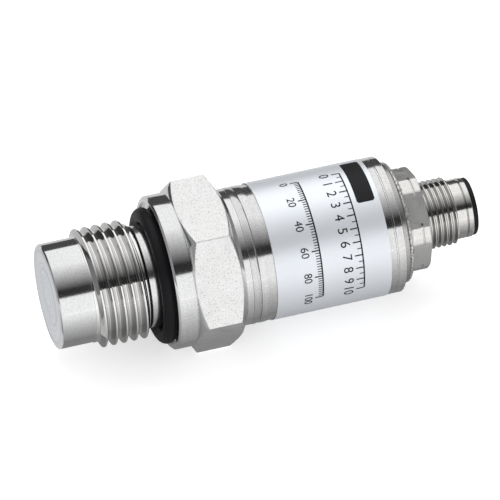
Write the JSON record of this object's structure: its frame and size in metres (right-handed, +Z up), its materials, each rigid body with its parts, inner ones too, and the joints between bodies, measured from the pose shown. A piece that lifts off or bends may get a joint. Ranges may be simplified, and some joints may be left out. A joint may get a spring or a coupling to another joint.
{
  "type": "flush-diaphragm pressure transmitter",
  "caption": "Steel pressure sensor: flush diaphragm, G 1/2 thread, sealing ring, 27 mm hexagon, labelled tube and M12 plug.",
  "frame": {"origin": "centre of the flush diaphragm's outer face", "axes": "+X along the axis from the diaphragm to the plug, +Z up as it lies on a hexagon flat"},
  "size_m": [0.0763, 0.0312, 0.027],
  "materials": {
    "turned_steel": "bright turned stainless steel",
    "diaphragm_steel": "satin stainless foil",
    "seal_rubber": "matt black rubber",
    "label_foil": "satin silver foil",
    "insert_plastic": "black moulded plastic",
    "contact_metal": "gold-plated brass",
    "seal_glass": "clear green glass",
    "filler_ceramic": "unglazed white ceramic",
    "silicon": "polished silicon",
    "board_laminate": "green glass-fibre laminate",
    "chip_plastic": "black moulded chip",
    "component_ceramic": "brown ceramic chip",
    "lead_sleeve": "amber film and wire sleeve"
  },
  "bodies": {
    "root": {"port_body": "turned_steel", "housing_tube": "turned_steel", "front_weld_bead": "turned_steel", "rear_weld_bead": "turned_steel", "end_cap": "turned_steel", "connector_weld_bead": "turned_steel", "connector_shell": "turned_steel", "header_body": "turned_steel", "header_retaining_ring": "turned_steel", "oil_fill_ball": "turned_steel", "flush_diaphragm": "diaphragm_steel", "sealing_o_ring": "seal_rubber", "insert_seal_ring": "seal_rubber", "label": "label_foil", "contact_insert": "insert_plastic", "front_board_carrier": "insert_plastic", "rear_board_carrier": "insert_plastic", "contact_pin_1": "contact_metal", "contact_pin_2": "contact_metal", "contact_pin_3": "contact_metal", "contact_pin_4": "contact_metal", "header_pin_1": "contact_metal", "header_pin_2": "contact_metal", "header_pin_3": "contact_metal", "header_pin_4": "contact_metal", "header_pin_5": "contact_metal", "header_pin_6": "contact_metal", "header_glass_1": "seal_glass", "header_glass_2": "seal_glass", "header_glass_3": "seal_glass", "header_glass_4": "seal_glass", "header_glass_5": "seal_glass", "header_glass_6": "seal_glass", "glass_pedestal": "seal_glass", "volume_filler": "filler_ceramic", "silicon_die": "silicon", "main_board": "board_laminate", "compensation_board": "board_laminate", "amplifier_chip": "chip_plastic", "converter_chip": "chip_plastic", "driver_transistor": "chip_plastic", "protection_diode_1": "chip_plastic", "protection_diode_2": "chip_plastic", "capacitor_1": "component_ceramic", "capacitor_2": "component_ceramic", "capacitor_3": "component_ceramic", "compensation_resistor_1": "component_ceramic", "compensation_resistor_2": "component_ceramic", "compensation_resistor_3": "component_ceramic", "compensation_resistor_4": "component_ceramic", "supply_lead_1": "lead_sleeve", "supply_lead_2": "lead_sleeve", "supply_lead_3": "lead_sleeve", "supply_lead_4": "lead_sleeve", "sensor_flex": "lead_sleeve"}
  },
  "joints": []
}
